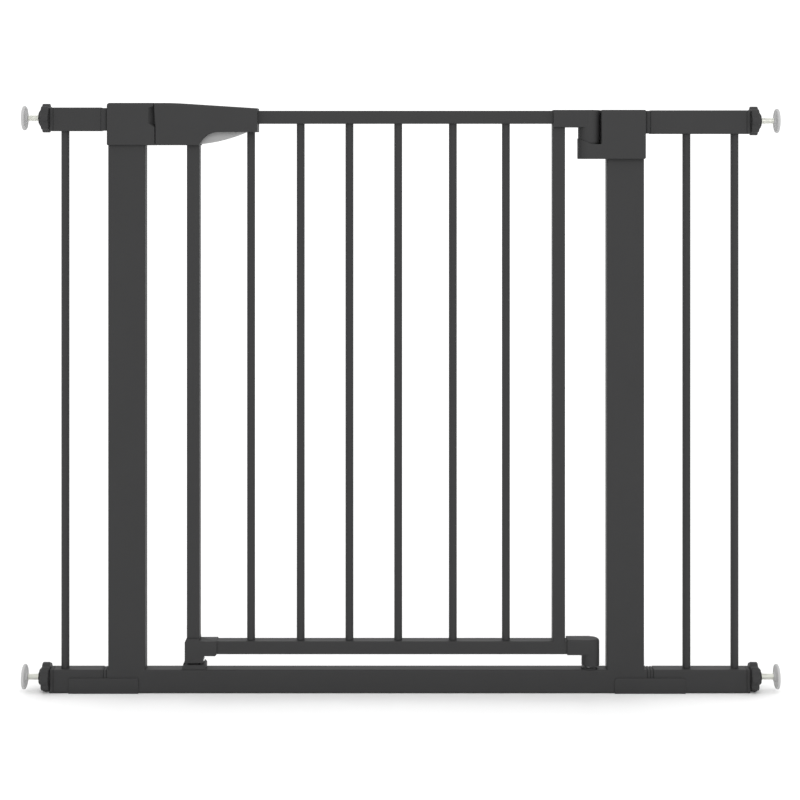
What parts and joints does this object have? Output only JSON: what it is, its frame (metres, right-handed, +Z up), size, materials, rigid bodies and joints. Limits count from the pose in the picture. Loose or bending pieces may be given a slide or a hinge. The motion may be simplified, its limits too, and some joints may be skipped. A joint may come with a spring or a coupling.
{
  "type": "safety baby gate",
  "caption": "Pressure-fitted walk-through safety gate: barred door with squeeze-and-lift handle, swinging both ways in a steel frame with screw-out wall pads.",
  "frame": {"origin": "on the floor, at the middle of the gate's width and depth", "axes": "+X along the gate towards the hinge side, +Y through the gate away from the handle's front, +Z up"},
  "size_m": [0.9632, 0.0366, 0.7503],
  "materials": {
    "dark_painted_steel": "satin charcoal powder coat",
    "dark_plastic": "satin charcoal moulding",
    "trigger_plastic": "satin mid grey moulding",
    "bearing_plastic": "smooth black moulding",
    "pad_rubber": "soft light grey",
    "zinc_steel": "zinc plated, threaded",
    "bright_steel": "plain bright steel"
  },
  "bodies": {
    "frame": {"threshold_rail": "dark_painted_steel", "left_post": "dark_painted_steel", "right_post": "dark_painted_steel", "left_post_head": "dark_plastic", "right_post_head": "dark_plastic", "latch_keeper": "bearing_plastic", "hinge_seat_bush": "bearing_plastic", "top_hinge_pin": "bright_steel", "pivot_cup": "bearing_plastic", "door_catch": "dark_plastic", "frame_screws": "bright_steel", "left_extension_top_rail": "dark_painted_steel", "left_extension_bottom_rail": "dark_painted_steel", "left_extension_bar": "dark_painted_steel", "right_extension_top_rail": "dark_painted_steel", "right_extension_bottom_rail": "dark_painted_steel", "right_extension_inner_bar": "dark_painted_steel", "right_extension_outer_bar": "dark_painted_steel", "left_spigots": "dark_plastic", "right_spigots": "dark_plastic", "left_joint_clip": "dark_painted_steel", "right_joint_clip": "dark_painted_steel", "end_bushes": "dark_plastic", "spindle_washers": "bearing_plastic"},
    "pivot": {"pivot_pin": "bright_steel"},
    "door": {"latch_stile": "dark_painted_steel", "hinge_stile": "dark_painted_steel", "door_top_rail": "dark_painted_steel", "door_bottom_rail": "dark_painted_steel", "door_bar_1": "dark_painted_steel", "door_bar_2": "dark_painted_steel", "door_bar_3": "dark_painted_steel", "door_bar_4": "dark_painted_steel", "door_bar_5": "dark_painted_steel", "door_bar_6": "dark_painted_steel", "top_hinge_block": "dark_plastic", "hinge_elbow": "dark_plastic", "corner_fitting": "dark_plastic", "handle_front_shell": "dark_plastic", "handle_rear_shell": "dark_plastic", "bolt_guide": "bearing_plastic", "door_screws": "bright_steel", "trigger_spring": "bright_steel"},
    "trigger": {"trigger": "trigger_plastic", "trigger_pin": "bright_steel"},
    "bolt": {"latch_bolt": "bearing_plastic"},
    "left_top_nut": {"left_top_hand_nut": "dark_plastic"},
    "left_top_spindle": {"left_top_threaded_rod": "zinc_steel", "left_top_wall_pad": "pad_rubber"},
    "left_bottom_nut": {"left_bottom_hand_nut": "dark_plastic"},
    "left_bottom_spindle": {"left_bottom_threaded_rod": "zinc_steel", "left_bottom_wall_pad": "pad_rubber"},
    "right_top_nut": {"right_top_hand_nut": "dark_plastic"},
    "right_top_spindle": {"right_top_threaded_rod": "zinc_steel", "right_top_wall_pad": "pad_rubber"},
    "right_bottom_nut": {"right_bottom_hand_nut": "dark_plastic"},
    "right_bottom_spindle": {"right_bottom_threaded_rod": "zinc_steel", "right_bottom_wall_pad": "pad_rubber"}
  },
  "joints": [
    {"name": "door_swing", "type": "hinge", "parent": "frame", "child": "pivot", "pos_m": [0.2402, 0, 0.03], "axis": [0, 0, 1], "range_deg": [-90, 90], "stiffness_Nm_per_rad": 0.15},
    {"name": "door_lift", "type": "slide", "parent": "pivot", "child": "door", "axis": [0, 0, 1], "range_m": [0, 0.006]},
    {"name": "trigger_squeeze", "type": "slide", "parent": "door", "child": "trigger", "axis": [0, 0, 1], "range_m": [0, 0.006], "stiffness_N_per_m": 400, "springref_m": -0.004, "deforming": ["trigger_spring"]},
    {"name": "bolt_slide", "type": "slide", "parent": "door", "child": "bolt", "axis": [1, 0, 0], "range_m": [0, 0.006]},
    {"name": "left_top_nut_spin", "type": "hinge", "parent": "frame", "child": "left_top_nut", "pos_m": [-0.451, 0, 0.7311], "axis": [-1, 0, 0], "range_deg": [-3460, 7205]},
    {"name": "left_top_rod_slide", "type": "slide", "parent": "frame", "child": "left_top_spindle", "axis": [-1, 0, 0], "range_m": [-0.012, 0.025]},
    {"name": "left_bottom_nut_spin", "type": "hinge", "parent": "frame", "child": "left_bottom_nut", "pos_m": [-0.451, 0, 0.0186], "axis": [-1, 0, 0], "range_deg": [-3460, 7205]},
    {"name": "left_bottom_rod_slide", "type": "slide", "parent": "frame", "child": "left_bottom_spindle", "axis": [-1, 0, 0], "range_m": [-0.012, 0.025]},
    {"name": "right_top_nut_spin", "type": "hinge", "parent": "frame", "child": "right_top_nut", "pos_m": [0.451, 0, 0.7275], "axis": [1, 0, 0], "range_deg": [-3460, 7205]},
    {"name": "right_top_rod_slide", "type": "slide", "parent": "frame", "child": "right_top_spindle", "axis": [1, 0, 0], "range_m": [-0.012, 0.025]},
    {"name": "right_bottom_nut_spin", "type": "hinge", "parent": "frame", "child": "right_bottom_nut", "pos_m": [0.451, 0, 0.0186], "axis": [1, 0, 0], "range_deg": [-3460, 7205]},
    {"name": "right_bottom_rod_slide", "type": "slide", "parent": "frame", "child": "right_bottom_spindle", "axis": [1, 0, 0], "range_m": [-0.012, 0.025]}
  ],
  "couplings": [
    {"joint": "bolt_slide", "follows": "trigger_squeeze", "ratio": 1},
    {"joint": "left_top_nut_spin", "follows": "left_top_rod_slide", "rad_per_m": 5026.5},
    {"joint": "left_bottom_nut_spin", "follows": "left_bottom_rod_slide", "rad_per_m": 5026.5},
    {"joint": "right_top_nut_spin", "follows": "right_top_rod_slide", "rad_per_m": 5026.5},
    {"joint": "right_bottom_nut_spin", "follows": "right_bottom_rod_slide", "rad_per_m": 5026.5}
  ]
}
